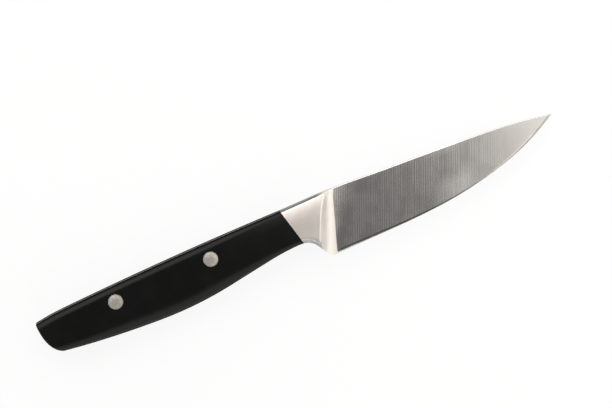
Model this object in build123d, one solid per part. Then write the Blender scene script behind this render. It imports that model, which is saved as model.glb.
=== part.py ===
from build123d import *
from math import atan2, degrees, radians, sqrt, tan
import os

# A paring knife with a full tang, a forged bolster and two riveted scales.
# Lengths are in millimetres and angles in degrees.
# The knife lies on its left side: X runs through both rivets towards the tip, Y towards the spine, Z up.
# The origin is midway between the rivets, on the flat outer side of the left scale.

# Handle, measured from the origin
handle_thickness = 13.0
joint_reach = 50.2
joint_lean = 13.0
flat_reach = 34.0
waist_radius = 300.0
spine_round = 2.0
belly_round = 4.5
fillet_share = 0.85

# Back of the handle from its crest, as shares of the way to each end and of the crest's rise
crest_reach = 10.0
spine_rise = 5.57
rear_back_shares = ((0.707, 0.862), (1.0, 0.35))
front_back_shares = ((0.587, 0.931),)

# Belly from its lowest point: two arcs to the butt, and an arc, a straight and a hollow arc to the neck
low_reach = 2.5
belly_drop = 13.4
neck_drop = 8.73
rear_belly_shares = ((0.147, 0.980), (1.0, 0.446))
belly_straight_share = 0.339
belly_arc_share = 0.63

# Butt: a leaning straight, then one arc under to the belly
butt_reach = 48.9
butt_lean = 2.0
butt_turn_rise = 1.3
butt_radius = 11.5
butt_round = 0.7

# Bolster, measured from its joint with the scales
bolster_length = 17.75
plunge_lean = 19.3
cove_width_spine = 4.6
cove_width_heel = 6.7
cove_height = 4.3
cove_sag = 0.75
choil_radius = 6.5
beard_lean = 25.7
heel_drop = 17.35
heel_width = 2.7

# Blade, measured from the line where the cove ends
blade_length = 86.4
blade_drop = 17.62
plunge_rise = 4.88
tip_drop = 3.2
spine_thickness = 2.1
edge_thickness = 0.4
tip_thickness = 0.7
bevel_angle = 17.0

# Spine of the blade from beyond its tip, as shares of the blade's length and of the bow above a straight line
spine_bow = 0.98
bow_shares = ((1.034, -0.353), (1.0, 0.0), (0.8325, 0.995), (0.4554, 0.727), (0.1126, 0.207), (0.0, 0.0))
# Cutting edge from beyond the tip, as shares of the blade's length and of the drop below its tip
edge_shares = ((1.030, -0.104), (1.0, 0.0), (0.7314, 0.6455), (0.4033, 0.948), (-0.17, 0.945))

# Tang and rivets
tang_thickness = 2.8
rivet_spacing = 37.8
rivet_head_diameter = 5.5
rivet_head_thickness = 1.4
socket_diameter = 3.8
socket_end_gap = 0.3
pin_diameter = 2.2
pin_length = 8.0
pin_end_gap = 0.5
head_clearance = 0.02
shank_clearance = 0.1

# How far a cutting shape runs past what it cuts
overrun = 3.0

# Heights and reaches that follow
mid_height = handle_thickness / 2
plunge_reach = joint_reach + bolster_length
tip_reach = plunge_reach + blade_length
head_seat = handle_thickness - rivet_head_thickness
rear_reach = butt_reach + 3 * overrun


def joint_x(y):
    """Where the scales meet the bolster, at height y."""
    return joint_reach - y * tan(radians(joint_lean))


def plunge_x(y):
    """Where the bolster's cove meets the flat of the blade, at height y."""
    return plunge_reach + y * tan(radians(plunge_lean))


def beard_x(y):
    """Rear face of the bolster's beard, at height y."""
    heel_corner = plunge_x(-heel_drop) - heel_width
    return heel_corner - (y + heel_drop) * tan(radians(beard_lean))


def flat_plane():
    """The ground flat of the blade's right side, through its thicknesses at the spine, the heel and the tip."""
    spine = Vector(plunge_reach, plunge_rise, mid_height + spine_thickness / 2)
    heel = Vector(plunge_reach, -blade_drop, mid_height + edge_thickness / 2)
    tip = Vector(tip_reach, -tip_drop, mid_height + tip_thickness / 2)
    return Plane(origin=spine, z_dir=(tip - spine).cross(spine - heel))


def flat_z(x, y):
    """Height of the blade's right flat above a place in the side view."""
    flat = flat_plane()
    normal = flat.z_dir
    return flat.origin.Z - ((x - flat.origin.X) * normal.X + (y - flat.origin.Y) * normal.Y) / normal.Z


def through_all(outline):
    """A solid of a side outline, through more than the handle's thickness."""
    return extrude(Pos(0, 0, -overrun) * make_face(outline), amount=handle_thickness + 2 * overrun)


def both_sides(shape):
    """A shape and its mirror image about the knife's middle plane."""
    return shape + mirror(shape, about=Plane.XY.offset(mid_height))


# Handle and bolster, shaped together


def arcs_through(points, way=None):
    """Arcs that run into each other through points, setting off straight to the second point, or in a given way."""
    first, second, *others = points
    last = TangentArc(first, second, tangent=way) if way else Line(first, second)
    curve = last
    for point in others:
        last = TangentArc(last @ 1, point, tangent=last % 1)
        curve += last
    return curve


def back_curve():
    """The back of the whole knife in side view, from behind the butt to beyond the tip."""
    crest = (crest_reach, spine_rise)
    plunge = (plunge_reach, plunge_rise)
    rear = [(crest_reach - x * (rear_reach + crest_reach), y * spine_rise) for x, y in rear_back_shares]
    front = [(crest_reach + x * (plunge_reach - crest_reach), y * spine_rise) for x, y in front_back_shares]
    fall = plunge_rise + tip_drop
    blade = [(plunge_reach + x * blade_length, plunge_rise - x * fall + bow * spine_bow) for x, bow in bow_shares]
    handle = arcs_through([crest, *rear], (-1, 0)) + arcs_through([crest, *front, plunge], (1, 0))
    return handle + arcs_through(blade)


def edge_curve():
    """The cutting edge in side view, from beyond the tip back to inside the heel."""
    depth = blade_drop - tip_drop
    return arcs_through([(plunge_reach + x * blade_length, -tip_drop - drop * depth) for x, drop in edge_shares])


def belly_curve():
    """The belly of the handle in side view, from behind the butt to the neck, where it ends level."""
    low = (low_reach, -belly_drop)
    neck = (joint_reach, -neck_drop)
    run = joint_reach - low_reach
    rise = belly_drop - neck_drop
    straight = belly_straight_share * run
    radii = (run**2 + rise**2 - straight**2) / (2 * rise)
    slope = degrees(atan2(run, radii - rise) - atan2(straight, radii))
    front = JernArc(low, (1, 0), belly_arc_share * radii, slope)
    hollow = JernArc(neck, (-1, 0), (1 - belly_arc_share) * radii, slope)
    rear = [(low_reach - x * (rear_reach + low_reach), -y * belly_drop) for x, y in rear_belly_shares]
    return arcs_through([low, *rear], (-1, 0)) + front + Line(front @ 1, hollow @ 1) + hollow


def ends(curve):
    """The first and the last place of a curve along X."""
    in_order = curve.vertices().sort_by(Axis.X)
    return Vector(*in_order[0]), Vector(*in_order[-1])


def side_outline():
    """Side outline of handle and bolster, run out past the butt and the heel, and forward under the whole back."""
    bottom = -heel_drop - overrun
    back = back_curve()
    belly = belly_curve()
    back_start, back_end = ends(back)
    belly_start, belly_end = ends(belly)
    choil_points = ((joint_reach, -neck_drop), (beard_x(-neck_drop), -neck_drop), (beard_x(bottom), bottom))
    choil = FilletPolyline(*choil_points, radius=choil_radius)
    front_edge = Polyline((beard_x(bottom), bottom), (back_end.X, bottom), back_end)
    return back + belly + choil + front_edge + Line(belly_start, back_start)


def waist_inset(x):
    """How far the arc of the waist draws each side in, at a place along the knife."""
    return waist_radius - sqrt(waist_radius**2 - (x - flat_reach) ** 2)


def top_outline():
    """Top outline of handle and bolster: parallel flat sides, then a wide arc drawn in towards the blade."""
    end_x = plunge_x(spine_rise) + overrun
    end_inset = waist_inset(end_x)
    right_end = (end_x, handle_thickness - end_inset)
    left_end = (end_x, end_inset)
    right_waist = TangentArc((flat_reach, handle_thickness), right_end, tangent=(1, 0))
    left_waist = TangentArc((flat_reach, 0), left_end, tangent=(1, 0))
    right_side = Line((-rear_reach, handle_thickness), (flat_reach, handle_thickness))
    left_side = Line((-rear_reach, 0), (flat_reach, 0))
    rear_end = Line((-rear_reach, 0), (-rear_reach, handle_thickness))
    return right_side + right_waist + left_side + left_waist + rear_end + Line(left_end, right_end)


def side_edges(body, low, high, front):
    """The long edges where a side meets the spine or the belly, between two heights and behind a place."""
    on_side = body.edges().filter_by(lambda e: abs(e.center().Z - mid_height) > mid_height / 2)
    in_reach = on_side.filter_by(lambda e: -butt_reach < e.center().X < front)
    return in_reach.filter_by(lambda e: low < e.center().Y < high)


def shaped_body():
    """Handle and bolster as one body, rounded along the spine, the belly and the finger choil."""
    height = heel_drop + spine_rise + 3 * overrun
    body = extrude(make_face(side_outline()), amount=handle_thickness)
    body &= extrude(Plane.XZ * make_face(top_outline()), amount=height, both=True)
    body = fillet(side_edges(body, spine_rise / 2, spine_rise + overrun, plunge_reach), spine_round)
    half_wall = mid_height - waist_inset(beard_x(-heel_drop - overrun))
    choil_round = min(belly_round, fillet_share * half_wall)
    body = fillet(side_edges(body, -heel_drop, -neck_drop / 2, plunge_reach), choil_round)
    return body


def behind_butt():
    """What is cut away behind the butt."""
    top = spine_rise + overrun
    bottom = -belly_drop - overrun
    turn = (-butt_reach, butt_turn_rise)
    straight_top = (-butt_reach + (top - butt_turn_rise) * tan(radians(butt_lean)), top)
    straight = Line(straight_top, turn)
    arc = JernArc(turn, straight % 1, butt_radius, 90 - butt_lean)
    arc_end = arc @ 1
    rest = Polyline(arc_end, (arc_end.X, bottom), (-rear_reach, bottom), (-rear_reach, top), straight_top)
    return through_all(straight + arc + rest)


def eased_butt(body):
    """The body with the edges of its butt end rounded over."""
    butt = body.faces().sort_by(Axis.X)[0]
    return fillet(butt.edges(), butt_round)


def behind_joint():
    """Everything on the handle's side of the joint with the bolster."""
    top = spine_rise + overrun
    bottom = -belly_drop - overrun
    corners = Polyline(
        (joint_x(top), top), (joint_x(bottom), bottom), (-rear_reach, bottom), (-rear_reach, top), close=True
    )
    return through_all(corners)


def cove_section(y, width):
    """One section of the cove cutter, from the bolster's side down to the flat of the blade and into it."""
    foot = Vector(plunge_x(y), flat_z(plunge_x(y), y))
    crest = foot + Vector(-width, cove_height)
    run = crest - foot
    inward = Vector(-run.Y, run.X).normalized()
    cove = ThreePointArc(foot, (foot + crest) / 2 + inward * cove_sag, crest)
    above = handle_thickness + overrun
    ahead = plunge_x(spine_rise) + 2 * overrun
    rest = Polyline(crest, (crest.X, above), (ahead, above), (ahead, mid_height),
                    (foot.X + spine_thickness, mid_height), foot)
    return Plane.XZ.offset(-y) * make_face(cove + rest)


def cove_cutter():
    """The space of the right side's cove, which widens from the spine to the heel."""
    top = spine_rise + overrun
    bottom = -heel_drop - overrun
    per_drop = (cove_width_heel - cove_width_spine) / (plunge_rise + heel_drop)
    top_width = cove_width_spine + per_drop * (plunge_rise - top)
    bottom_width = cove_width_spine + per_drop * (plunge_rise - bottom)
    return loft([cove_section(top, top_width), cove_section(bottom, bottom_width)], ruled=True)


def below_heel():
    """What is cut away under the heel of the bolster."""
    bottom = -heel_drop - 2 * overrun
    front = plunge_x(spine_rise) + 2 * overrun
    corners = Polyline((0, -heel_drop), (front, -heel_drop), (front, bottom), (0, bottom), close=True)
    return through_all(corners)


# Blade


def bevel_cutter():
    """What is ground off the right side of the cutting edge, to a sharp line in the middle plane."""
    path = Pos(0, 0, mid_height) * edge_curve()
    slope = tan(radians(bevel_angle))
    inside = spine_thickness / slope
    outside = blade_drop + overrun
    start = Plane(origin=path @ 0, x_dir=(0, 0, 1), z_dir=-(path % 0))
    corners = Polyline((-outside * slope, outside), (inside * slope, -inside), (inside * slope, outside), close=True)
    return sweep(start * make_face(corners), path=path)


def flat_cutter():
    """Everything above the ground flat of the blade's right side."""
    reach = 2 * (butt_reach + tip_reach)
    return flat_plane() * Box(reach, reach, handle_thickness, align=(Align.CENTER, Align.CENTER, Align.MIN))


def half_blade():
    """The right half of the blade, above the middle plane: ground flat from spine to edge, then bevelled to it."""
    rear = plunge_x(-heel_drop) - spine_thickness / 2
    bottom = -blade_drop - overrun
    back = back_curve()
    back_start, back_end = ends(back)
    rest = Polyline(back_end, (back_end.X, bottom), (back_start.X, bottom), back_start)
    plate = through_all(back + rest)
    plate &= Pos(rear, 0, mid_height) * Box(
        2 * blade_length, 4 * blade_drop, 2 * spine_thickness, align=(Align.MIN, Align.CENTER, Align.MIN)
    )
    return plate - flat_cutter() - bevel_cutter()


# Rivets


def rivet_places():
    return {"rear": Pos(-rivet_spacing / 2, 0, 0), "front": Pos(rivet_spacing / 2, 0, 0)}


def upright(diameter, low, high):
    """A round bar standing between two heights."""
    return extrude(Pos(0, 0, low) * Circle(diameter / 2), amount=high - low)


def rivet_socket():
    """The hollow half of a rivet: its head lies flush in the left scale."""
    socket = upright(rivet_head_diameter, 0, rivet_head_thickness)
    socket += upright(socket_diameter, rivet_head_thickness, head_seat - socket_end_gap)
    return socket - upright(pin_diameter, head_seat - pin_length - pin_end_gap, handle_thickness)


def rivet_pin():
    """The solid half of a rivet, pressed into the socket: its head lies flush in the right scale."""
    head = upright(rivet_head_diameter, head_seat, handle_thickness)
    return head + upright(pin_diameter, head_seat - pin_length, head_seat)


def rivet_bore():
    """Clearance for a whole rivet: two counterbores and a hole through."""
    head_bore = rivet_head_diameter + 2 * head_clearance
    bore = upright(socket_diameter + 2 * shank_clearance, -overrun, handle_thickness + overrun)
    bore += upright(head_bore, -overrun, rivet_head_thickness)
    bore += upright(head_bore, head_seat, handle_thickness + overrun)
    return bore


# Pieces


def tang_slab():
    """The slice of the handle that the tang fills."""
    low = mid_height - tang_thickness / 2
    reach = butt_reach + plunge_reach
    height = spine_rise + heel_drop + 3 * overrun
    return Pos(0, 0, low) * Box(2 * reach, 2 * height, tang_thickness, align=(Align.CENTER, Align.CENTER, Align.MIN))


def make_pieces():
    body = eased_butt(shaped_body() - behind_butt()) - below_heel() - both_sides(cove_cutter())
    bores = [place * rivet_bore() for place in rivet_places().values()]
    grip = body & behind_joint()
    scales = grip - tang_slab()
    for bore in bores:
        scales -= bore
    left_scale, right_scale = scales.solids().sort_by(Axis.Z)
    tang = grip & tang_slab()
    for bore in bores:
        tang -= bore
    steel = (body - behind_joint()) + tang + both_sides(half_blade())
    pieces = {"blade": steel, "left_scale": left_scale, "right_scale": right_scale}
    for name, place in rivet_places().items():
        pieces[name + "_rivet_socket"] = place * rivet_socket()
        pieces[name + "_rivet_pin"] = place * rivet_pin()
    return pieces


os.makedirs("parts", exist_ok=True)
for name, piece in make_pieces().items():
    print(name, "solids", len(piece.solids()), "volume", round(piece.volume, 1), "valid", piece.is_valid)
    export_step(piece, "parts/" + name + ".step")
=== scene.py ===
# %% [markdown]
# A forged paring knife
#
# The knife has three kinds of piece: one steel forging that is blade, bolster and tang in one, two
# black plastic scales, and two rivets that clamp the scales to the tang. The CAD model gives their
# places. Here each one gets the softer edges and the finish of the real knife.

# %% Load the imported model
from math import asin, atan2, cos, pi, radians, sin, sqrt, tan

import bpy
from mathutils import Matrix, Vector


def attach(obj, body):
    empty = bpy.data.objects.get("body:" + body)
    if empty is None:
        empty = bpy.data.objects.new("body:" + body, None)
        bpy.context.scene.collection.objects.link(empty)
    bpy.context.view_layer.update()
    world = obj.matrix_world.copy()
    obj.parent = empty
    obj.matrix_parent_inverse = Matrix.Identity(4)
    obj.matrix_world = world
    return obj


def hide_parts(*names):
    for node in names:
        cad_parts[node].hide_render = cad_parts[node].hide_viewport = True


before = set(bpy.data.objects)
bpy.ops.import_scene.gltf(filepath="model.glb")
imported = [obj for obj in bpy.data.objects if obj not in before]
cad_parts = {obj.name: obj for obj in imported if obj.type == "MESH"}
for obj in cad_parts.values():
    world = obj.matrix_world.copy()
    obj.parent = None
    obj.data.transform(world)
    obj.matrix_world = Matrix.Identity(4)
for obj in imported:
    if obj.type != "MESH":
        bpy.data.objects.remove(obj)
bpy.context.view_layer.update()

print("CAD nodes:", sorted(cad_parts))

# %% [markdown]
# How the pieces are made
#
# The blade, the bolster and the scales share one flowing outline, and their sides swell, round over
# and sink into the cove without a flat place to start a bevel from. Extruding the outline and
# bevelling it would leave uneven facets on a polished surface. So each of these pieces starts as a
# grid, whose rows and columns are laid along the outline. Its inside is then lifted to the
# thickness that the real piece has at each place. The rows crowd together where the surface turns
# quickly, so the rounding stays smooth.

# %% Work in millimetres, with helpers that select like a hand would
mm = 0.001


def deselect_all():
    for other in bpy.context.selected_objects:
        other.select_set(False)


def make_active(piece):
    """Selects one piece and nothing else."""
    deselect_all()
    bpy.context.view_layer.objects.active = piece
    piece.select_set(True)


def start_selection(kind):
    """Gets ready to select faces or edges, with nothing selected yet."""
    bpy.ops.mesh.select_mode(type=kind)
    bpy.ops.mesh.select_all(action="DESELECT")


def in_edit_mode(piece):
    """Opens one piece for editing with nothing in it selected."""
    make_active(piece)
    bpy.ops.object.mode_set(mode="EDIT")
    start_selection("FACE")


def leave_edit_mode():
    bpy.ops.object.mode_set(mode="OBJECT")


def select_everything():
    bpy.ops.mesh.select_all(action="SELECT")


def move_all(shift):
    """Moves everything in the piece in edit mode."""
    select_everything()
    bpy.ops.transform.translate(value=shift)


def select_faces(piece, wanted):
    """Selects the faces of the piece in edit mode for which a test of centre and normal holds."""
    start_selection("FACE")
    leave_edit_mode()
    for face in piece.data.polygons:
        face.select = wanted(face.center / mm, face.normal)
    bpy.ops.object.mode_set(mode="EDIT")


def select_edges(piece, wanted):
    """Selects the edges of the piece in edit mode for which a test of their two ends holds."""
    start_selection("EDGE")
    leave_edit_mode()
    points = piece.data.vertices
    for edge in piece.data.edges:
        a, b = (points[end].co / mm for end in edge.vertices)
        edge.select = wanted(a, b)
    bpy.ops.object.mode_set(mode="EDIT")


print("one millimetre is", mm, "m")

# %% [markdown]
# The outline
#
# Seen from the side, the knife is a few long curves: one back from butt to tip, a belly, a finger
# choil and an edge. Arcs that run smoothly into each other draw such curves from very few points,
# so each arc needs only the point where it ends.

# %% Draw outlines with arcs
arc_steps = 24
straight_turn = 1e-7


def turned(way, angle):
    """A direction in the side view, turned anticlockwise."""
    along, across = cos(angle), sin(angle)
    return Vector((way.x * along - way.y * across, way.x * across + way.y * along))


def arcs_through(points, way):
    """Places along arcs that run into each other through the points, setting off in a given way."""
    places = [Vector(points[0])]
    way = Vector(way).normalized()
    for point in points[1:]:
        start = places[-1]
        chord = Vector(point) - start
        turn = atan2(way.x * chord.y - way.y * chord.x, way.dot(chord))
        for step in range(1, arc_steps + 1):
            share = step / arc_steps
            reach = share if abs(turn) < straight_turn else sin(turn * share) / sin(turn)
            places.append(start + turned(way, turn * share) * chord.length * reach)
        way = turned(way, 2 * turn)
    return places


def height_at(curve, x):
    """Height of an outline above a place along the knife. The outline's places run to the right."""
    low, high = 0, len(curve) - 1
    while high - low > 1:
        middle = (low + high) // 2
        low, high = (middle, high) if curve[middle].x <= x else (low, middle)
    a, b = curve[low], curve[high]
    return a.y + (b.y - a.y) * (x - a.x) / (b.x - a.x)


def cut_between(curve, start, end):
    """The stretch of an outline between two places along the knife, with both of these on it."""
    inside = [place for place in curve if start < place.x < end]
    return [Vector((start, height_at(curve, start))), *inside, Vector((end, height_at(curve, end)))]


def at_shares(curve, shares):
    """Places at shares of an outline's length."""
    lengths = [0.0]
    for a, b in zip(curve, curve[1:]):
        lengths.append(lengths[-1] + (b - a).length)
    places = []
    segment = 0
    for share in shares:
        wanted = share * lengths[-1]
        while segment < len(curve) - 2 and lengths[segment + 1] < wanted:
            segment += 1
        a, b = curve[segment], curve[segment + 1]
        stretch = lengths[segment + 1] - lengths[segment]
        places.append(a + (b - a) * (wanted - lengths[segment]) / stretch)
    return places


print("each arc has", arc_steps, "steps")

# %% Lay out the knife's own outline, in millimetres
crest = (10.0, 5.57)
plunge_reach = 67.95
plunge_top = (plunge_reach, 5.16)
tip = Vector((153.8, -3.15))
tip_back_lean = radians(13.5)
tip_edge_lean = radians(30.1)
handle_back_rear = arcs_through([crest, (-38.005, 4.88), (-57.9, 2.08)], (-1, 0))
handle_back_front = arcs_through([crest, (44.02, 5.186), plunge_top], (1, 0))
spine_points = [tip, (133.1, 0.3), (100.8, 2.85), (77.7, 4.55), plunge_top]
blade_back = arcs_through(spine_points, (-cos(tip_back_lean), sin(tip_back_lean)))
back = handle_back_rear[::-1] + handle_back_front[1:] + blade_back[::-1][1:]

edge_points = [tip, (131.14, -12.508), (102.8, -17.08), (86.0, -17.62), (59.2, -17.66)]
edge = arcs_through(edge_points, (-cos(tip_edge_lean), -sin(tip_edge_lean)))[::-1]

lowest = (2.5, -13.4)
neck_height = -8.73
neck_end_x = 60.0
joint_reach = 50.2
belly_rear = arcs_through([lowest, (-6.38, -13.132), (-57.9, -5.976)], (-1, 0))
belly_points = [lowest, (22.48, -11.939), (38.47, -9.588), (joint_reach, neck_height)]
belly_front = arcs_through(belly_points, (1, 0))
belly = belly_rear[::-1] + belly_front[1:] + [Vector((neck_end_x, neck_height))]
print("outline places:", len(back), len(edge), len(belly))

# %% Add the butt, the choil and the lines across the knife
joint_lean = tan(radians(13.0))
plunge_lean = tan(radians(19.3))
choil_centre = Vector((50.915, -15.23))
choil_radius = 6.5
choil_turn = radians(64.3)
heel_height = -17.66
heel_corner = Vector((59.75, heel_height))
butt_top = Vector((-48.88, height_at(back, -48.88)))
butt_low = Vector((-43.6, height_at(belly, -43.6)))
butt = arcs_through([butt_top, (-48.5, -0.6), (-46.78, -5.6), butt_low], (0.03, -1))
ahead_of_butt = -40
well_inside = 10.0


def joint_x(y):
    """Where the handle ends and the bolster starts."""
    return joint_reach - y * joint_lean


def plunge_x(y):
    """Where the cove ends and the ground blade starts."""
    return plunge_reach + y * plunge_lean


def distance_to(curve, place):
    """Distance from a place to the nearest stretch of an outline."""
    distances = []
    for a, b in zip(curve, curve[1:]):
        way = b - a
        share = min(max((place - a).dot(way) / way.length_squared, 0.0), 1.0)
        distances.append((a + way * share - place).length)
    return min(distances)


def butt_distance(x, y):
    """How far a place lies inside the butt's outline."""
    return distance_to(butt, Vector((x, y))) if x < ahead_of_butt else well_inside


def belly_distance(x, y):
    """How far a place lies inside the belly or, under the bolster, inside the finger choil."""
    if x < choil_centre.x:
        return y - height_at(belly, x)
    out = Vector((x, y)) - choil_centre
    turn = atan2(out.x, out.y)
    if turn > choil_turn:
        return out.x * sin(choil_turn) + out.y * cos(choil_turn) - choil_radius
    return out.length - choil_radius


print("butt from", [round(v, 2) for v in butt_top], "to", [round(v, 2) for v in butt_low])

# %% [markdown]
# How thick the knife is at each place
#
# The handle is 13 mm thick and draws in towards the blade on a wide arc. Along the back the sides
# round over gently, and along the belly more fully, where the fingers close round it. These
# roundings are quarter ellipses: wide and shallow, so that light fades across them slowly. They
# grow smaller towards the bolster and the butt, and towards the bolster the side falls away a
# little more near the back. In front, the bolster sinks to the blade in a hollow cove. The blade is
# ground nearly flat from its back to a thin edge, with a narrow bevel that does the cutting. Beside
# the cove the flat sweeps up, where the grinding wheel ran out.

# %% Give the handle its heights above the middle plane
half_thickness = 6.5
flat_reach = 34.0
waist_radius = 300.0
back_round_handle = Vector((2.3, 2.0))
back_round_bolster = Vector((0.8, 0.8))
belly_round_handle = Vector((5.6, 4.3))
belly_round_bolster = Vector((2.2, 2.0))
belly_round_butt = Vector((3.2, 2.6))
bolster_change = (14.0, 38.0)
butt_change = (12.0, 34.0)
crown_width = 7.2
crown_depth = 1.25
butt_round = (0.8, 0.7)
joint_ease = (0.12, 0.1)
tang_half = 1.4


def drop(distance, round_size):
    """How far a rounding lowers the side, a distance in from its outline."""
    width, depth = round_size
    if distance >= width:
        return 0.0
    share = 1 - max(distance, 0.0) / width
    return depth * (1 - sqrt(1 - share * share))


def waist(x):
    """Half the thickness before any rounding, which draws in ahead of the flat part."""
    reach = max(x - flat_reach, 0.0)
    return half_thickness - waist_radius + sqrt(waist_radius**2 - reach**2)


def eased(share):
    """0 below 0, 1 above 1, with a smooth way between."""
    share = min(max(share, 0.0), 1.0)
    return share * share * (3 - 2 * share)


def toward_bolster(x):
    """How far the roundings have changed to those of the bolster, from 0 to 1."""
    start, length = bolster_change
    return eased((x - start) / length)


def toward_butt(x):
    """How far the belly's rounding has changed to that of the butt, from 0 to 1."""
    start, length = butt_change
    return eased((-x - start) / length)


def grip_height(x, y):
    """Half the thickness of handle and bolster, with the back and the belly rounded over."""
    front = toward_bolster(x)
    back_round = back_round_handle.lerp(back_round_bolster, front)
    belly_round = belly_round_handle.lerp(belly_round_bolster, front)
    belly_round = belly_round.lerp(belly_round_butt, toward_butt(x))
    below_back = height_at(back, x) - y
    rounded = drop(below_back, back_round) + drop(belly_distance(x, y), belly_round)
    crown = crown_depth * max(1 - below_back / crown_width, 0.0) ** 2
    return waist(x) - rounded - front * crown


def scale_height(x, y):
    """Half the thickness at a scale, whose two ends are eased too."""
    at_butt = drop(butt_distance(x, y), butt_round)
    at_joint = drop(joint_x(y) - x, joint_ease)
    return grip_height(x, y) - at_butt - at_joint


print("handle:", round(2 * grip_height(0, -4), 2), "mm thick")

# %% Give the ground blade and the cove their heights
flat_at_plunge = 1.05
thinner_per_reach = 0.00457
thinner_per_drop = 0.03778
plunge_rise = 4.88
bevel_slope = tan(radians(18.0))
bevel_blend = 0.11
thinnest = 0.01
spine_ease = (0.45, 0.3)
spine_swell = (3.5, 0.07)
edge_swell = (5.0, 0.04)
cove_height = 4.3
cove_sag = 0.75
cove_width_spine = 4.6
cove_widening = 2.1
cove_run = 22.23
above_cove_slope = 3.0
cove_blend = 1.0
thinnest_bolster = 0.15
grind_slope = 0.1
grind_spread = 0.72
grind_foot = 5.0
least_grind = 0.8


def flat_height(x, y):
    """Half the thickness of the ground flat, which thins towards the edge and towards the tip."""
    toward_tip = thinner_per_reach * (x - plunge_reach)
    return flat_at_plunge - toward_tip + thinner_per_drop * (y - plunge_rise)


def sweep(ahead, lift):
    """How far the flat is swept up where the grinding wheel ran out, further near the spine."""
    reach = grind_spread * max(lift - grind_foot, least_grind)
    return grind_slope * reach / 2 * max(1 - ahead / reach, 0.0) ** 2


def ground_height(x, y):
    """Half the thickness without the bevel. The flat falls away by a hair near its borders."""
    below_back = height_at(back, x) - y
    lift = y - height_at(edge, x)
    height = flat_height(x, y) + sweep(max(x - plunge_x(y), 0.0), lift)
    height -= drop(below_back, spine_ease)
    height -= drop(below_back, spine_swell)
    return height - drop(lift, edge_swell)


def bevel_height(x, y):
    """Height of the cutting bevel, which rises from the edge."""
    return max(y - height_at(edge, x), 0.0) * bevel_slope


def blended(a, b, blend):
    """The lower of two heights, with the crease between them rounded off."""
    overlap = max(blend - abs(a - b), 0.0) / blend
    return min(a, b) - overlap * overlap * blend / 4


def blade_height(x, y):
    """Half the thickness of the blade, which keeps a trace of thickness at the back of the tip."""
    bevel = bevel_height(x, y)
    if bevel == 0:
        return 0.0
    height = blended(ground_height(x, y), bevel, min(bevel_blend, 2 * bevel))
    return max(height, min(thinnest, bevel / 4))


def bevel_start(high, low):
    """Share of the way from spine to edge at which the cutting bevel starts."""
    halvings = 30
    above, below = 0.4, 1.0
    for halving in range(halvings):
        middle = (above + below) / 2
        place = high + (low - high) * middle
        on_flat = bevel_height(place.x, place.y) > ground_height(place.x, place.y)
        above, below = (middle, below) if on_flat else (above, middle)
    return above


def cove_height_at(x, y):
    """Height of the hollow cove behind the plunge line."""
    width = cove_width_spine + (plunge_rise - y) * cove_widening / cove_run
    at_plunge = plunge_x(y)
    lift = y - height_at(edge, at_plunge)
    foot = flat_height(at_plunge, y) + sweep(0.0, lift)
    reach = plunge_x(y) - x
    if reach >= width:
        return foot + cove_height + (reach - width) * above_cove_slope
    chord = sqrt(width**2 + cove_height**2)
    radius = (chord**2 / 4 + cove_sag**2) / (2 * cove_sag)
    outward = Vector((-cove_height, width)) / chord
    centre = Vector((width, cove_height)) / 2 + outward * (radius - cove_sag)
    return foot + centre.y - sqrt(radius**2 - (reach - centre.x) ** 2)


def bolster_height(x, y):
    """Half the thickness of the bolster: the handle's side, cut by the cove."""
    cove = cove_height_at(x, y) - drop(height_at(back, x) - y, spine_ease)
    return max(blended(grip_height(x, y), cove, cove_blend), thinnest_bolster)


print("bolster at its joint:", round(2 * bolster_height(52, 0), 2), "mm thick")

# %% [markdown]
# Rows and columns
#
# A patch of the side view lies between four outlines. Its inner places are found by blending the
# opposite outlines into each other, which keeps rows along the knife and columns across it. The
# steps between rows are small next to the back, the belly and the edge.

# %% Space the rows, as shares of the way from back to belly
row_reference = 16.0
bevel_step = 0.65
top_steps = [0, 0.01, 0.05, 0.12, 0.22, 0.35, 0.5, 0.7, 0.95, 1.25, 1.6, 2.0, 2.45, 2.95, 3.5]
low_steps = [6.0, 5.4, 4.8, 4.2, 3.6, 3.05, 2.55, 2.1, 1.7, 1.35, 1.05, 0.88, 0.76]
low_steps += [bevel_step, 0.5, 0.35, 0.2, 0.08, 0.02, 0]
middle_span = row_reference - low_steps[0] - top_steps[-1]
middle_steps = [top_steps[-1] + middle_span * step / 12 for step in range(1, 12)]
row_shares = [step / row_reference for step in top_steps + middle_steps]
row_shares += [1 - step / row_reference for step in low_steps]
bevel_row = row_shares.index(1 - bevel_step / row_reference)
print("rows:", len(row_shares), "with the bevel's line on row", bevel_row)


def blade_shares(start):
    """Row shares of a blade column, with one row on the line where the bevel starts."""
    line = row_shares[bevel_row]
    upper = [share * start / line for share in row_shares[:bevel_row]]
    lower = [start + (share - line) * (1 - start) / (1 - line) for share in row_shares[bevel_row:]]
    return upper + lower


def patch(top, bottom, left, right, across):
    """Columns of places between outlines: top and bottom run forward, left and right run down."""
    columns = []
    for u, t, b in zip(across, top, bottom):
        column = []
        for v, near, far in zip(row_shares, left, right):
            left_corners = left[0] * (1 - v) + left[-1] * v
            right_corners = right[0] * (1 - v) + right[-1] * v
            corners = left_corners * (1 - u) + right_corners * u
            column.append(t * (1 - v) + b * v + near * (1 - u) + far * u - corners)
        columns.append(column)
    return columns


def grid_piece(name, columns):
    """A grid primitive whose vertices are laid on the columns, with their heights."""
    deselect_all()
    wide, tall = len(columns), len(columns[0])
    bpy.ops.mesh.primitive_grid_add(x_subdivisions=wide - 1, y_subdivisions=tall - 1, size=0.1)
    piece = bpy.context.object
    piece.name = name
    for index, vertex in enumerate(piece.data.vertices):
        vertex.co = columns[index % wide][tall - 1 - index // wide] * mm
    return piece


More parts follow.
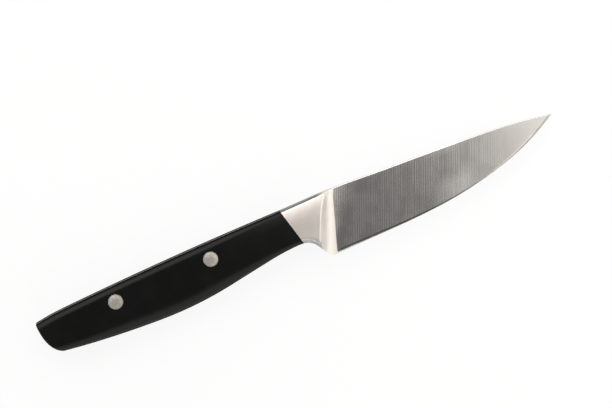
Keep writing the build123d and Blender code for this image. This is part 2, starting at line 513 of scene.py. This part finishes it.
# %% [markdown]
# The steel
#
# Blade, bolster and tang are one forging, so they are one mesh. Its columns start at the butt on
# the thin tang, climb the bolster's rear face in one step, cross the bolster and the cove, and run
# down the blade to the tip. Only the right half is laid out. Its rim is extruded down to
# the middle plane, and a Mirror modifier adds the other half.

# %% Find the corners of the handle in side view
joint_high_y = 5.15
joint_low_y = -8.86
hair = 0.001
handle_back = cut_between(back, butt_top.x, joint_x(joint_high_y))
joint_top = handle_back[-1]
joint_bottom = Vector((joint_x(joint_low_y), joint_low_y))
handle_belly = cut_between(belly, butt_low.x, joint_bottom.x - hair)[:-1] + [joint_bottom]
joint_line = [joint_top, joint_bottom]
print("joint from", [round(v, 2) for v in joint_top], "to", [round(v, 2) for v in joint_bottom])

# %% Lay the columns of the handle
handle_length = 98.5
rear_steps = [0, 0.01, 0.05, 0.12, 0.22, 0.35, 0.5, 0.7, 0.95, 1.25, 1.7, 2.3, 3.1]
joint_steps = [1.8, 1.0, 0.5, 0.25, 0.12, 0.06, 0.02, 0]
long_count = 78
long_span = handle_length - (rear_steps[-1] + joint_steps[0])
long_steps = [rear_steps[-1] + long_span * step / long_count for step in range(1, long_count)]
handle_shares = [step / handle_length for step in rear_steps + long_steps]
handle_shares += [1 - step / handle_length for step in joint_steps]
handle_patch = patch(
    at_shares(handle_back, handle_shares),
    at_shares(handle_belly, handle_shares),
    at_shares(butt, row_shares),
    at_shares(joint_line, row_shares),
    handle_shares,
)
print("handle grid:", len(handle_patch), "by", len(handle_patch[0]))

# %% Find where the plunge line meets the back, by closing in on it
closing_steps = 20
plunge_top_y = plunge_top[1]
for closer in range(closing_steps):
    plunge_top_y = height_at(back, plunge_x(plunge_top_y))
plunge_corner = Vector((plunge_x(plunge_top_y), plunge_top_y))
plunge_heel = Vector((plunge_x(heel_height), heel_height))
print("plunge line from", [round(v, 2) for v in plunge_corner], "to the heel")

# %% Lay the columns of the bolster
choil_steps = 40
first_turn = asin((joint_bottom.x - choil_centre.x) / choil_radius)
choil_arc = []
for step in range(choil_steps + 1):
    turn = first_turn + (choil_turn - first_turn) * step / choil_steps
    choil_arc.append(choil_centre + Vector((sin(turn), cos(turn))) * choil_radius)


def lifted(places, height):
    """Places of the side view raised to their heights above the middle plane."""
    return [Vector((place.x, place.y, height(place.x, place.y))) for place in places]


def stretch_steps(count, first, last):
    """Shares from first to last in even steps, without the first itself."""
    return [first + (last - first) * step / count for step in range(1, count + 1)]


heel_round = 0.9
heel_way = (heel_corner - choil_arc[-1]).normalized()
heel_ends = [heel_corner - heel_way * heel_round, heel_corner + Vector((heel_round, 0))]
heel_arc = arcs_through(heel_ends, heel_way)
half_arc = arc_steps // 2

# Each stretch of the bolster: its columns, its line below, and how far its line above reaches
bolster_parts = [
    (38, choil_arc, 58.5),
    (30, [choil_arc[-1], *heel_arc[: half_arc + 1]], 66.0),
    (16, [*heel_arc[half_arc:], plunge_heel], plunge_corner.x),
]
bolster_low = [joint_bottom]
bolster_high_x = [joint_top.x]
for count, low_line, high_x in bolster_parts:
    bolster_low += at_shares(low_line, stretch_steps(count, 0, 1))
    bolster_high_x += stretch_steps(count, bolster_high_x[-1], high_x)
bolster_high = [Vector((x, height_at(back, x))) for x in bolster_high_x]
across = [index / (len(bolster_low) - 1) for index in range(len(bolster_low))]
plunge_edge = Vector((plunge_heel.x, height_at(edge, plunge_heel.x)))
plunge_shares = blade_shares(bevel_start(plunge_corner, plunge_edge))
bolster_patch = patch(
    bolster_high,
    bolster_low,
    at_shares(joint_line, row_shares),
    at_shares([plunge_corner, plunge_heel], plunge_shares),
    across,
)
print("bolster grid:", len(bolster_patch), "by", len(bolster_patch[0]))

# %% Lay the columns of the blade
blade_length = 85.5
near_steps = [0.25, 0.5, 0.8, 1.2, 1.7, 2.3, 3.0]
steps_from_tip = [5.2, 4.4, 3.7, 3.0, 2.4, 1.8, 1.3, 0.9, 0.5, 0.25]
far_count = 66
far_span = blade_length - 9.0
far_steps = [near_steps[-1] + far_span * step / far_count for step in range(1, far_count + 1)]
end_steps = [blade_length - step for step in steps_from_tip]
blade_steps = [step / blade_length for step in near_steps + far_steps + end_steps]
spine_line = cut_between(back, plunge_corner.x, tip.x)
edge_line = cut_between(edge, plunge_heel.x, tip.x)
spine_places = at_shares(spine_line, blade_steps)
edge_places = at_shares(edge_line, blade_steps)
blade_patch = []
for spine_place, edge_place in zip(spine_places, edge_places):
    shares = blade_shares(bevel_start(spine_place, edge_place))
    blade_patch.append([spine_place + (edge_place - spine_place) * share for share in shares])
print("blade grid:", len(blade_patch), "by", len(blade_patch[0]))

# %% Lay out the right half of the steel
def laid_flat(columns, height):
    """Columns of the side view, all at one height above the middle plane."""
    return [[Vector((place.x, place.y, height)) for place in column] for column in columns]


on_line = 0.004
steel_columns = laid_flat(handle_patch, tang_half)
steel_columns += [lifted(column, bolster_height) for column in bolster_patch]
steel_columns += [lifted(column, blade_height) for column in blade_patch]
steel_columns += [[Vector((tip.x, tip.y, 0.0))] * len(row_shares)]
steel = grid_piece("forged_steel", steel_columns)


def on_plunge(place):
    """Whether a place lies on the crease where the cove ends."""
    return abs(place.x - plunge_x(place.y)) < on_line


in_edit_mode(steel)
select_edges(steel, lambda a, b: on_plunge(a) and on_plunge(b))
bpy.ops.mesh.mark_sharp()
leave_edit_mode()
print("half of the steel:", len(steel.data.polygons), "faces")

# %% [markdown]
# Welding
#
# Where outlines meet, places of the grid fall on each other and are merged. The rows beside the
# cutting edge lie only 0.002 mm apart, so the steel is merged within less than that. Merging
# further would fold the two sides of the edge into each other.

# %% Close it down to the middle plane and mirror it
weld_reach = 0.002 * mm
fine_weld_reach = 0.001 * mm
mirror_weld_reach = 0.0005 * mm
shortest_edge = 0.0005 * mm


def select_rim():
    """Selects the open rim of the piece in edit mode."""
    start_selection("EDGE")
    bpy.ops.mesh.select_non_manifold(
        extend=False, use_wire=False, use_multi_face=False, use_non_contiguous=False
    )


def flatten_selected(piece, height):
    """Puts the selected vertices at one height."""
    leave_edit_mode()
    for vertex in piece.data.vertices:
        if vertex.select:
            vertex.co.z = height
    bpy.ops.object.mode_set(mode="EDIT")


def weld(reach):
    """Merges what lies together within a reach."""
    select_everything()
    bpy.ops.mesh.remove_doubles(threshold=reach)


def tidy_shell(reach):
    """Welds the piece, clears edges of no length and turns every face outwards."""
    weld(reach)
    bpy.ops.mesh.dissolve_degenerate(threshold=shortest_edge)
    select_everything()
    bpy.ops.mesh.normals_make_consistent(inside=False)


def apply_modifier(piece, kind, **settings):
    """Adds a modifier to a piece and applies it."""
    make_active(piece)
    modifier = piece.modifiers.new("step", kind)
    for name, value in settings.items():
        setattr(modifier, name, value)
    bpy.ops.object.modifier_apply(modifier=modifier.name)


in_edit_mode(steel)
weld(fine_weld_reach)
select_rim()
bpy.ops.mesh.extrude_edges_move()
flatten_selected(steel, 0.0)
weld(fine_weld_reach)
leave_edit_mode()
apply_modifier(steel, "MIRROR", use_axis=(False, False, True), merge_threshold=mirror_weld_reach)
in_edit_mode(steel)
tidy_shell(fine_weld_reach)
move_all((0, 0, half_thickness * mm))
leave_edit_mode()
print("steel:", len(steel.data.polygons), "faces")

# %% [markdown]
# The scales
#
# A scale is a slab of plastic with a flat back against the tang. The handle's grid is laid at the
# height of the tang, extruded once, and the new faces are lifted to the outside of the handle. The
# other scale is its mirror image. Both get the counterbores in which the rivet heads sit.

# %% Make the right scale
right_scale = grid_piece("right_grip", laid_flat(handle_patch, tang_half))
in_edit_mode(right_scale)
select_everything()
bpy.ops.mesh.extrude_region_move()
leave_edit_mode()
for vertex in right_scale.data.vertices:
    if vertex.select:
        vertex.co.z = scale_height(vertex.co.x / mm, vertex.co.y / mm) * mm
in_edit_mode(right_scale)
tidy_shell(weld_reach)
move_all((0, 0, half_thickness * mm))
leave_edit_mode()
print("right scale:", len(right_scale.data.polygons), "faces")

# %% Bore the steel and the scales for the rivets
rivet_places = {"rear": -18.9, "front": 18.9}
head_radius = 2.85
head_depth = 1.4
head_clearance = 0.03
shank_bore = 2.0
past_side = 1
past_tang = 3
thickness = 2 * half_thickness
outside = thickness + past_side
seat = thickness - head_depth


def add_bar(name, x, radius, low, high, steps=96):
    """A round bar standing on the side view at a rivet's place."""
    deselect_all()
    middle = (low + high) / 2 * mm
    bpy.ops.mesh.primitive_cylinder_add(
        vertices=steps, radius=radius * mm, depth=(high - low) * mm, location=(x * mm, 0, middle)
    )
    bar = bpy.context.object
    bar.name = name
    bpy.ops.object.transform_apply(location=True, rotation=False, scale=False)
    return bar


def bore(piece, x, radius, low, high):
    """Cuts a round hole and takes its cutter away."""
    cutter = add_bar("cutter", x, radius, low, high)
    apply_modifier(piece, "BOOLEAN", operation="DIFFERENCE", solver="EXACT", object=cutter)
    bpy.data.objects.remove(cutter)


for x in rivet_places.values():
    bore(right_scale, x, shank_bore, -past_side, outside)
    bore(right_scale, x, head_radius + head_clearance, seat, outside)
    bore(steel, x, shank_bore, half_thickness - past_tang, half_thickness + past_tang)
print("bored scale:", len(right_scale.data.polygons), "faces")

# %% Mirror it for the left scale
def smooth_by_angle(piece, degrees):
    """Shades a piece smooth, but for edges that turn by more than an angle."""
    make_active(piece)
    bpy.ops.object.shade_smooth_by_angle(angle=radians(degrees))


def copy_of(piece, name):
    """A copy of a piece with a mesh of its own."""
    copied = piece.copy()
    copied.data = piece.data.copy()
    copied.name = name
    bpy.context.collection.objects.link(copied)
    return copied


left_scale = copy_of(right_scale, "left_grip")
in_edit_mode(left_scale)
middle_place = (0, 0, half_thickness * mm)
select_everything()
bpy.ops.transform.mirror(constraint_axis=(False, False, True), center_override=middle_place)
bpy.ops.mesh.normals_make_consistent(inside=False)
leave_edit_mode()
left_heights = [vertex.co.z / mm for vertex in left_scale.data.vertices]
print("left scale lies between", round(min(left_heights), 3), "and", round(max(left_heights), 3))
for piece in (steel, right_scale, left_scale):
    smooth_by_angle(piece, 32)

# %% [markdown]
# The rivets
#
# Each rivet is a pair: a solid pin with its head in the right scale, pressed into a hollow socket
# with its head in the left one. Each starts as a flat cylinder, the head. Its shank is inset and
# extruded, the rim of the head gets a small bevel, and its face rises in a low dome, so that the
# light fades across it.

# %% Make one pin and one socket
pin_radius = 1.1
socket_radius = 1.9
pin_length = 8.0
hollow_length = 8.2
socket_end_gap = 0.3
press_gap = 0.01
near_rim = 2.8
rim_bevel = 0.16
dome_height = 0.25
dome_steps = ((0.1, 0.0), (0.4, 0.08), (0.5, 0.08), (0.5, 0.06), (0.5, 0.03))


def radius_from(place, x):
    """Distance of a place from a rivet's middle."""
    return (Vector((place.x, place.y)) - Vector((x, 0))).length


def ease_head(piece, x, height):
    """Bevels the round rim of a rivet head, then raises its face in a low dome."""

    def on_rim(place):
        return abs(place.z - height) < 0.01 and radius_from(place, x) > near_rim

    select_edges(piece, lambda a, b: on_rim(a) and on_rim(b))
    bpy.ops.mesh.bevel(offset=rim_bevel * mm, segments=4, affect="EDGES")
    for inset, rise in dome_steps:
        select_faces(piece, lambda c, n: abs(c.z - height) < 0.3 and radius_from(c, x) < 0.05)
        bpy.ops.mesh.inset(thickness=inset * mm, depth=rise * mm)


rear_x = rivet_places["rear"]
pin = add_bar("rear_pin", rear_x, head_radius, seat, thickness - dome_height)
in_edit_mode(pin)
select_faces(pin, lambda c, n: n.z < -0.9)
bpy.ops.mesh.inset(thickness=(head_radius - pin_radius) * mm)
bpy.ops.mesh.extrude_region_move(TRANSFORM_OT_translate={"value": (0, 0, -pin_length * mm)})
ease_head(pin, rear_x, thickness - dome_height)
tidy_shell(weld_reach)
leave_edit_mode()

socket_reach = seat - socket_end_gap - head_depth
socket = add_bar("rear_socket", rear_x, head_radius, dome_height, head_depth)
in_edit_mode(socket)
select_faces(socket, lambda c, n: n.z > 0.9)
bpy.ops.mesh.inset(thickness=(head_radius - socket_radius) * mm)
bpy.ops.mesh.extrude_region_move(TRANSFORM_OT_translate={"value": (0, 0, socket_reach * mm)})
bpy.ops.mesh.inset(thickness=(socket_radius - pin_radius - press_gap) * mm)
bpy.ops.mesh.extrude_region_move(TRANSFORM_OT_translate={"value": (0, 0, -hollow_length * mm)})
ease_head(socket, rear_x, dome_height)
tidy_shell(weld_reach)
leave_edit_mode()
print("pin and socket:", len(pin.data.polygons), len(socket.data.polygons), "faces")

# %% Copy them to the front
def copy_forward(piece, name):
    """A copy of a rear rivet's piece at the front rivet's place."""
    copied = copy_of(piece, name)
    in_edit_mode(copied)
    move_all(((rivet_places["front"] - rear_x) * mm, 0, 0))
    leave_edit_mode()
    return copied


front_pin = copy_forward(pin, "front_pin")
front_socket = copy_forward(socket, "front_socket")
rivets = [pin, socket, front_pin, front_socket]
for piece in rivets:
    smooth_by_angle(piece, 35)
print("rivet pieces:", [piece.name for piece in rivets])

# %% Say what each piece stands for
stands_for = {
    steel: ("blade", "blade_steel"),
    right_scale: ("right_scale", "scale_black"),
    left_scale: ("left_scale", "scale_black"),
    pin: ("rear_rivet_pin", "rivet_steel"),
    socket: ("rear_rivet_socket", "rivet_steel"),
    front_pin: ("front_rivet_pin", "rivet_steel"),
    front_socket: ("front_rivet_socket", "rivet_steel"),
}
for piece, (node, slot) in stands_for.items():
    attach(piece, "root")
    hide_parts(node)
print("pieces ride on root:", len(stands_for))

# %% [markdown]
# Finishes
#
# A finish is a network of nodes. Written out node by node it is long and hard to read, so one small
# class wraps a socket: sums written with it in Python add the Math nodes, and one method adds any
# other node. Every pattern is laid out in millimetres of the knife itself, so it stays put when the
# knife moves.

# %% Write node networks as sums
class Wire:
    """One socket of a material's nodes."""

    def __init__(self, tree, socket=None):
        self.tree = tree
        self.socket = socket

    def node(self, kind, settings, inputs, output=0):
        """Adds a node, sets it up, gives its sockets values or links, and returns one output."""
        made = self.tree.nodes.new(kind)
        for name, value in settings.items():
            setattr(made, name, value)
        feed(made, inputs)
        return Wire(self.tree, made.outputs[output])

    def math(self, operation, *values):
        """A Math node on the values."""
        return self.node("ShaderNodeMath", {"operation": operation}, dict(enumerate(values)))

    def math_of(self, operation):
        """A Math node on this socket alone."""
        return self.math(operation, self)

    def __add__(self, other):
        return self.math("ADD", self, other)

    def __sub__(self, other):
        return self.math("SUBTRACT", self, other)

    def __mul__(self, other):
        return self.math("MULTIPLY", self, other)

    __radd__ = __add__
    __rmul__ = __mul__

    def __rsub__(self, other):
        return self.math("SUBTRACT", other, self)

    def step(self, start, end):
        """0 up to start and 1 from end on, with a smooth way between."""
        return self.node(
            "ShaderNodeMapRange",
            {"interpolation_type": "SMOOTHSTEP"},
            {"Value": self, "From Min": start, "From Max": end},
        )

    def colour_to(self, first, second):
        """A colour that goes from the first to the second as this goes from 0 to 1."""
        inputs = {0: self, 6: first, 7: second}
        return self.node("ShaderNodeMix", {"data_type": "RGBA"}, inputs, output=2)


def feed(node, inputs):
    """Gives a node's sockets values or links."""
    for name, value in inputs.items():
        if isinstance(value, Wire):
            node.id_data.links.new(value.socket, node.inputs[name])
        else:
            node.inputs[name].default_value = value


def start_finish(name):
    """A new material, its places in millimetres, and its shader."""
    material = bpy.data.materials.new(name)
    material.use_nodes = True
    place = Wire(material.node_tree).node("ShaderNodeTexCoord", {}, {}, output="Object")
    in_mm = place.node("ShaderNodeVectorMath", {"operation": "SCALE"}, {0: place, "Scale": 1000.0})
    return material, in_mm, material.node_tree.nodes["Principled BSDF"]


def noise(place, scale, detail, **settings):
    """Soft noise, from 0 to 1 around one half, with so many humps to a unit of its place."""
    inputs = {"Vector": place, "Scale": scale, "Detail": detail, **settings}
    return place.node("ShaderNodeTexNoise", {}, inputs)


def scaled(place, factors):
    """A place whose three coordinates are each multiplied by a factor."""
    return place.node("ShaderNodeVectorMath", {"operation": "MULTIPLY"}, {0: place, 1: factors})


def coordinate(place, axis):
    """One coordinate of a place: 0 runs along the knife, 1 from the edge to the back."""
    return place.node("ShaderNodeSeparateXYZ", {}, {0: place}, output=axis)


def bump(height, strength, depth):
    """A surface direction tilted by a height pattern of a depth in metres."""
    inputs = {"Strength": strength, "Distance": depth, "Height": height}
    return height.node("ShaderNodeBump", {}, inputs)


def grey(level, warmth=0.0):
    """A colour near grey, a little warmer or cooler."""
    return (level * (1 + warmth), level, level * (1 - warmth), 1.0)


print("finishes can be mixed")

# %% [markdown]
# Satin blade
#
# The blade is ground across its length, so lines run from the spine to the edge, nearly side by
# side with the line where the bolster ends. Ruled lines lie at an even pitch, come and go in
# patches, and fade towards the tip. Between them lies noise, drawn out the same way. Both tint the
# steel, and the noise also changes its roughness and tilts the surface by a trace. Past its middle
# the blade has a painted reflection: its colour is lighter towards its back and its edge.

# %% Mix the finish of the blade
def leaning(in_mm, lean, shift=0.0):
    """Places turned so that the first coordinate runs across the ground lines."""
    inputs = {"Vector": in_mm, "Location": (shift, 0.0, 0.0), "Rotation": (0.0, 0.0, -lean)}
    return in_mm.node("ShaderNodeMapping", {"vector_type": "TEXTURE"}, inputs)


def across_lines(in_mm, lean, count, stretch, shift):
    """Noise drawn out into lines across the knife: humps to a millimetre across and along them."""
    laid = leaning(in_mm, lean, shift)
    return noise(scaled(laid, (count, stretch, 0.2)), 1.0, 3.0)


def ruled_lines(in_mm, lean, pitch, wander):
    """Lines across the knife at an even pitch, which wander a little from their places."""
    laid = leaning(in_mm, lean)
    drift = noise(scaled(laid, (0.5, 0.005, 0.2)), 1.0, 1.0)
    turns = coordinate(laid, 0) * (2 * pi / pitch) + drift * wander
    return turns.math_of("SINE") * 0.5 + 0.5


grind_lean = radians(23.5)
line_pitch = 0.84
line_wander = 4.0
middle_y = -4.0
blade_finish, in_mm, shader = start_finish("satin_blade")
ruled = ruled_lines(in_mm, grind_lean, line_pitch, line_wander)
fine = across_lines(in_mm, grind_lean, 1.6, 0.012, 0.0)
bands = across_lines(in_mm, grind_lean, 0.22, 0.11, 20.0)
along_blade = coordinate(in_mm, 0)
toward_tip = along_blade.step(112.0, 140.0)
patchy = bands.step(0.4, 0.62) * 0.6 + 0.1
ruled_share = ruled * patchy * (1.0 - toward_tip * 0.9)
lines = ruled_share + fine * (0.5 - toward_tip * 0.3) + toward_tip * 0.15
# Painted reflection: past its middle the blade's colour is lighter towards its back and its edge.
off_middle = (coordinate(in_mm, 1) - middle_y).math_of("ABSOLUTE")
past_middle = along_blade.step(100.0, 111.0) * (1.0 - along_blade.step(112.0, 124.0))
painted_reflection = off_middle.step(2.0, 8.5) * past_middle * 0.8
ground_steel = lines.colour_to(grey(0.46, 0.03), grey(0.75, 0.03))
feed(shader, {
    "Base Color": painted_reflection.colour_to(ground_steel, grey(0.95, 0.03)),
    "Metallic": 1.0,
    "Roughness": fine * 0.08 + 0.19,
    "Normal": bump(fine, 0.02, 0.00001),
})
print("satin blade:", len(in_mm.tree.nodes), "nodes")

# %% [markdown]
# The painted line above the cutting bevel
#
# A thin dark line runs along the edge, just above the bevel, and fades towards the tip. It is a
# painted reflection: a narrow strip of steel whose colour is painted darker.

# %% Mix the finish of that line
# Painted reflection: the dark line's colour, lightening towards the tip.
shade_finish, in_mm, shader = start_finish("edge_line")
rubbed = across_lines(in_mm, grind_lean, 1.2, 0.4, 9.0)
near_tip = coordinate(in_mm, 0).step(100.0, 130.0)
feed(shader, {
    "Base Color": near_tip.colour_to(grey(0.25, 0.02), grey(0.6, 0.04)),
    "Metallic": 1.0,
    "Roughness": rubbed * 0.06 + 0.2,
})
print("edge line:", len(in_mm.tree.nodes), "nodes")

# %% [markdown]
# Bolster and tang
#
# The bolster is finished finer than the blade, with only a trace of lines. The tang's thin rim
# between the scales is the same steel, painted nearly black as a painted shade along the handle's
# back. The finger choil under the bolster is painted darker where it faces down: painted shade.
# The bolster's back face is painted dark too, a painted shade that clears up towards the cove.

# %% Mix the finish of the bolster
bolster_finish, in_mm, shader = start_finish("fine_bolster")
faint = across_lines(in_mm, grind_lean, 5.0, 0.08, 11.0)
polish = faint * 0.5 + noise(in_mm, 0.35, 2.0) * 0.5
feed(shader, {
    "Base Color": polish.step(0.3, 0.7).colour_to(grey(0.645, 0.05), grey(0.69, 0.05)),
    "Metallic": 1.0,
    "Roughness": polish * 0.08 + 0.42,
    "Normal": bump(faint, 0.12, 0.00002),
})
print("fine bolster:", len(in_mm.tree.nodes), "nodes")

# %% Mix the painted shade of the tang, the choil and the bolster's back
# Painted shade: the tang's rim is painted nearly black.
tang_painted_dark_finish, in_mm, shader = start_finish("tang_painted_dark")
speckle = noise(in_mm, 4.0, 4.0)
feed(shader, {
    "Base Color": speckle.step(0.3, 0.7).colour_to(grey(0.014), grey(0.024)),
    "Metallic": 1.0,
    "Roughness": speckle * 0.15 + 0.4,
})

# Painted shade: where the choil faces down, its steel is painted darker and a little cooler.
choil_painted_shade_finish, in_mm, shader = start_finish("choil_painted_shade")
cloudy = noise(in_mm, 0.8, 3.0)
feed(shader, {
    "Base Color": cloudy.step(0.3, 0.7).colour_to(grey(0.36, -0.02), grey(0.44, -0.02)),
    "Metallic": 1.0,
    "Roughness": cloudy * 0.1 + 0.35,
})

# Painted shade: the bolster's back is painted dark, clearing up towards the cove.
back_painted_shade_finish, in_mm, shader = start_finish("bolster_back_painted_shade")
rubbed = noise(in_mm, 1.5, 3.0)
toward_cove = coordinate(in_mm, 0).step(62.5, 67.2)
feed(shader, {
    "Base Color": (toward_cove + rubbed * 0.04).colour_to(grey(0.035, 0.03), grey(0.62, 0.05)),
    "Metallic": 1.0,
    "Roughness": rubbed * 0.1 + 0.32,
})
print("dull finishes:", tang_painted_dark_finish.name, choil_painted_shade_finish.name, back_painted_shade_finish.name)

# %% Give each stretch of the steel its finish
steel_finishes = [blade_finish, bolster_finish, tang_painted_dark_finish, choil_painted_shade_finish, shade_finish, back_painted_shade_finish]
blade_face, bolster_face, tang_face, choil_shade_face, painted_line_face, painted_back_face = range(len(steel_finishes))
off_line = 0.01
faces_back = 0.8
faces_choil = -0.38
back_end_x = 67.4
choil_end_x = 62.5
choil_top_y = -7.5
line_depth = 0.125
line_end_x = tip.x - 9


def steel_face(x, y, facing):
    """Which finish a face of the steel has, from its place and how much it faces the back."""
    if x < joint_x(y) - off_line:
        return tang_face
    if x < plunge_x(y) - off_line:
        # Painted shade: down-facing choil faces and back-facing bolster faces get darker colour.
        if facing < faces_choil and x < choil_end_x and y < choil_top_y:
            return choil_shade_face
        return painted_back_face if facing > faces_back and x < back_end_x else bolster_face
    over_bevel = bevel_height(x, y) - ground_height(x, y)
    return painted_line_face if 0 < over_bevel < line_depth and x < line_end_x else blade_face


for finish in steel_finishes:
    steel.data.materials.append(finish)
for face in steel.data.polygons:
    face.material_index = steel_face(face.center.x / mm, face.center.y / mm, face.normal.y)
for index, finish in enumerate(steel_finishes):
    print(finish.name, sum(face.material_index == index for face in steel.data.polygons), "faces")

# %% [markdown]
# Black plastic scales
#
# The scales are a hard moulded plastic with a fine matte grain. It is black, with a broad dim
# sheen. Handling leaves faint, slightly smoother patches. Where the sides turn down to the tang
# the plastic is duller, as if sanded level with it. On the right scale that is only the steepest
# part of the rounding, on the left scale most of it.

# %% Mix the finishes of the scales
scale_finish, in_mm, shader = start_finish("matte_black")
grain = noise(in_mm, 9.0, 5.0, Roughness=0.6)
patches = noise(in_mm, 0.12, 3.0)
feed(shader, {
    "Base Color": patches.step(0.3, 0.7).colour_to(grey(0.002), grey(0.003)),
    "Roughness": grain * 0.08 + patches * 0.08 + 0.3,
    "Specular IOR Level": 0.2,
    "Normal": bump(grain, 0.3, 0.00003),
})

sanded_finish, in_mm, shader = start_finish("sanded_black")
coarse = noise(in_mm, 5.0, 5.0)
feed(shader, {
    "Base Color": coarse.step(0.3, 0.7).colour_to(grey(0.005), grey(0.008)),
    "Roughness": coarse * 0.2 + 0.7,
    "Specular IOR Level": 0.0,
    "Normal": bump(coarse, 0.4, 0.00004),
})

# %% Give the scales their finishes by how steep each face is
for piece, sanded_from in ((right_scale, 0.5), (left_scale, 0.93)):
    piece.data.materials.append(scale_finish)
    piece.data.materials.append(sanded_finish)
    for face in piece.data.polygons:
        face.material_index = int(abs(face.normal.z) < sanded_from)
    sanded = sum(face.material_index for face in piece.data.polygons)
    print(piece.name, sanded, "sanded faces of", len(piece.data.polygons))

# %% [markdown]
# Rivets
#
# The rivet heads are ground flush, which leaves fine straight lines along the handle and a softer
# shine than the bolster's.

# %% Mix the finish of the rivets
rivet_finish, in_mm, shader = start_finish("ground_rivet")
ground = noise(scaled(in_mm, (0.3, 8.0, 1.0)), 1.0, 3.0)
feed(shader, {
    "Base Color": ground.step(0.3, 0.7).colour_to(grey(0.68, 0.07), grey(0.76, 0.07)),
    "Metallic": 1.0,
    "Roughness": ground * 0.1 + 0.35,
    "Normal": bump(ground, 0.2, 0.00002),
})
for piece in rivets:
    piece.data.materials.append(rivet_finish)
print("ground rivet:", len(in_mm.tree.nodes), "nodes")

# %% [markdown]
# Floor
#
# The knife lies on a plain pale floor, a hair lower than its flat side, because two surfaces in one
# plane would show through each other. The camera and every reflection see the floor as mostly
# plain white. The small share of real shading keeps a soft shadow under the knife.

# %% Make the floor
floor_gap = 0.05
floor_size = 6.0
plain_white = 0.88
deselect_all()
bpy.ops.mesh.primitive_plane_add(size=floor_size, location=(0, 0, 0))
bpy.ops.transform.translate(value=(0, 0, -floor_gap * mm))
bpy.ops.object.transform_apply(location=True, rotation=False, scale=False)
floor = bpy.context.object
floor.name = "floor"
in_edit_mode(floor)
select_everything()
bpy.ops.mesh.subdivide(number_cuts=3)
leave_edit_mode()
floor_finish, in_mm, shader = start_finish("pale_floor")
feed(shader, {
    "Base Color": (0.88, 0.9, 0.92, 1.0),
    "Roughness": 0.9,
    "Specular IOR Level": 0.0,
})
glow = in_mm.node("ShaderNodeEmission", {}, {"Color": grey(1.0), "Strength": 1.0})
seen = in_mm.node("ShaderNodeLightPath", {}, {}, output="Is Camera Ray")
mirrored = in_mm.node("ShaderNodeLightPath", {}, {}, output="Is Glossy Ray")
through = in_mm.node("ShaderNodeLightPath", {}, {}, output="Is Transmission Ray")
white_share = (seen + mirrored + through) * plain_white
shaded = Wire(in_mm.tree, shader.outputs["BSDF"])
mixed = in_mm.node("ShaderNodeMixShader", {}, {0: white_share, 1: shaded, 2: glow})
feed(in_mm.tree.nodes["Material Output"], {"Surface": mixed})
floor.data.materials.append(floor_finish)
print("floor lies", floor_gap, "mm under the knife")

# %% [markdown]
# Light
#
# Steel shows its surroundings. Large soft lamps stand behind the back, in front of the belly, past
# the tip and past the butt, and a smaller one hangs a little ahead of the tip. The space straight
# above is left dim. So the bolster gets a bright shoulder, and the blade runs from dim beside the
# bolster to bright at the tip. A weak even light fills the rest.

# %% Hang the lamps
def soft_lamp(name, place, target, size, brightness, colour):
    """A rectangular lamp that faces a target. Brightness 1 looks white in a mirror."""
    light = bpy.data.lights.new(name, "AREA")
    light.shape = "RECTANGLE"
    light.size, light.size_y = size
    light.energy = brightness * pi * size[0] * size[1]
    light.color = colour
    lamp = bpy.data.objects.new(name, light)
    bpy.context.scene.collection.objects.link(lamp)
    way = Vector(target) - Vector(place)
    lamp.location = place
    lamp.rotation_euler = way.to_track_quat("-Z", "Y").to_euler()
    lamp.visible_camera = False
    return lamp


warm = (1.0, 0.965, 0.92)
fill = 0.18
over_knife = (0.05, 0, 0)
past_tip = (0.2, 0, 0)
under_tip_lamp = (0.238, -0.055, 0)
soft_lamp("lamp_back", (0.05, 0.49, 0.36), over_knife, (0.9, 0.66), 2.4, warm)
soft_lamp("lamp_front", (0.2, -0.55, 0.29), past_tip, (1.2, 0.5), 1.32, warm)
soft_lamp("lamp_side", (0.55, -0.05, 0.28), over_knife, (0.6, 0.4), 1.7, warm)
soft_lamp("lamp_left", (-0.50, 0.0, 0.35), over_knife, (0.5, 0.5), 0.7, warm)
soft_lamp("lamp_over_tip", (0.238, -0.055, 0.30), under_tip_lamp, (0.18, 0.22), 1.5, warm)

world = bpy.data.worlds.new("studio")
world.use_nodes = True
bpy.context.scene.world = world
surround = world.node_tree.nodes["Background"]
feed(surround, {"Color": grey(1.0), "Strength": fill})
print("lamps:", len(bpy.data.lights))

# %% [markdown]
# Camera
#
# The photograph looks almost straight down on the knife's right side, from a little way behind its
# back, and is turned so that the tip points up to the right. The long lens keeps near and far at
# one scale.

# %% Set the camera
image_width = 612
pixels_per_mm = 2.75
lens = 300.0
sensor = 36.0
view_height = 8.0
behind_back = radians(5.5)
roll = radians(24.17)
centre = Vector((58.67, 3.71, view_height))

camera_data = bpy.data.cameras.new("camera")
camera = bpy.data.objects.new("camera", camera_data)
bpy.context.scene.collection.objects.link(camera)
bpy.context.scene.camera = camera
camera_data.lens = lens
camera_data.sensor_width = sensor
distance = image_width / pixels_per_mm * lens / sensor
camera_data.clip_start = 0.1
camera_data.clip_end = 20.0
backward = Vector((0, sin(behind_back), cos(behind_back)))
along = Vector((1, 0, 0))
up = backward.cross(along)
right_way = along * cos(roll) - up * sin(roll)
up_way = along * sin(roll) + up * cos(roll)
turn = Matrix((right_way, up_way, backward)).transposed().to_4x4()
camera.matrix_world = Matrix.Translation((centre + backward * distance) * mm) @ turn
print("camera distance:", round(distance), "mm")

# %% [markdown]
# View
#
# The render shows colours as they are written, with the Standard view transform.

# %% Set the view
bpy.context.scene.view_settings.view_transform = "Standard"
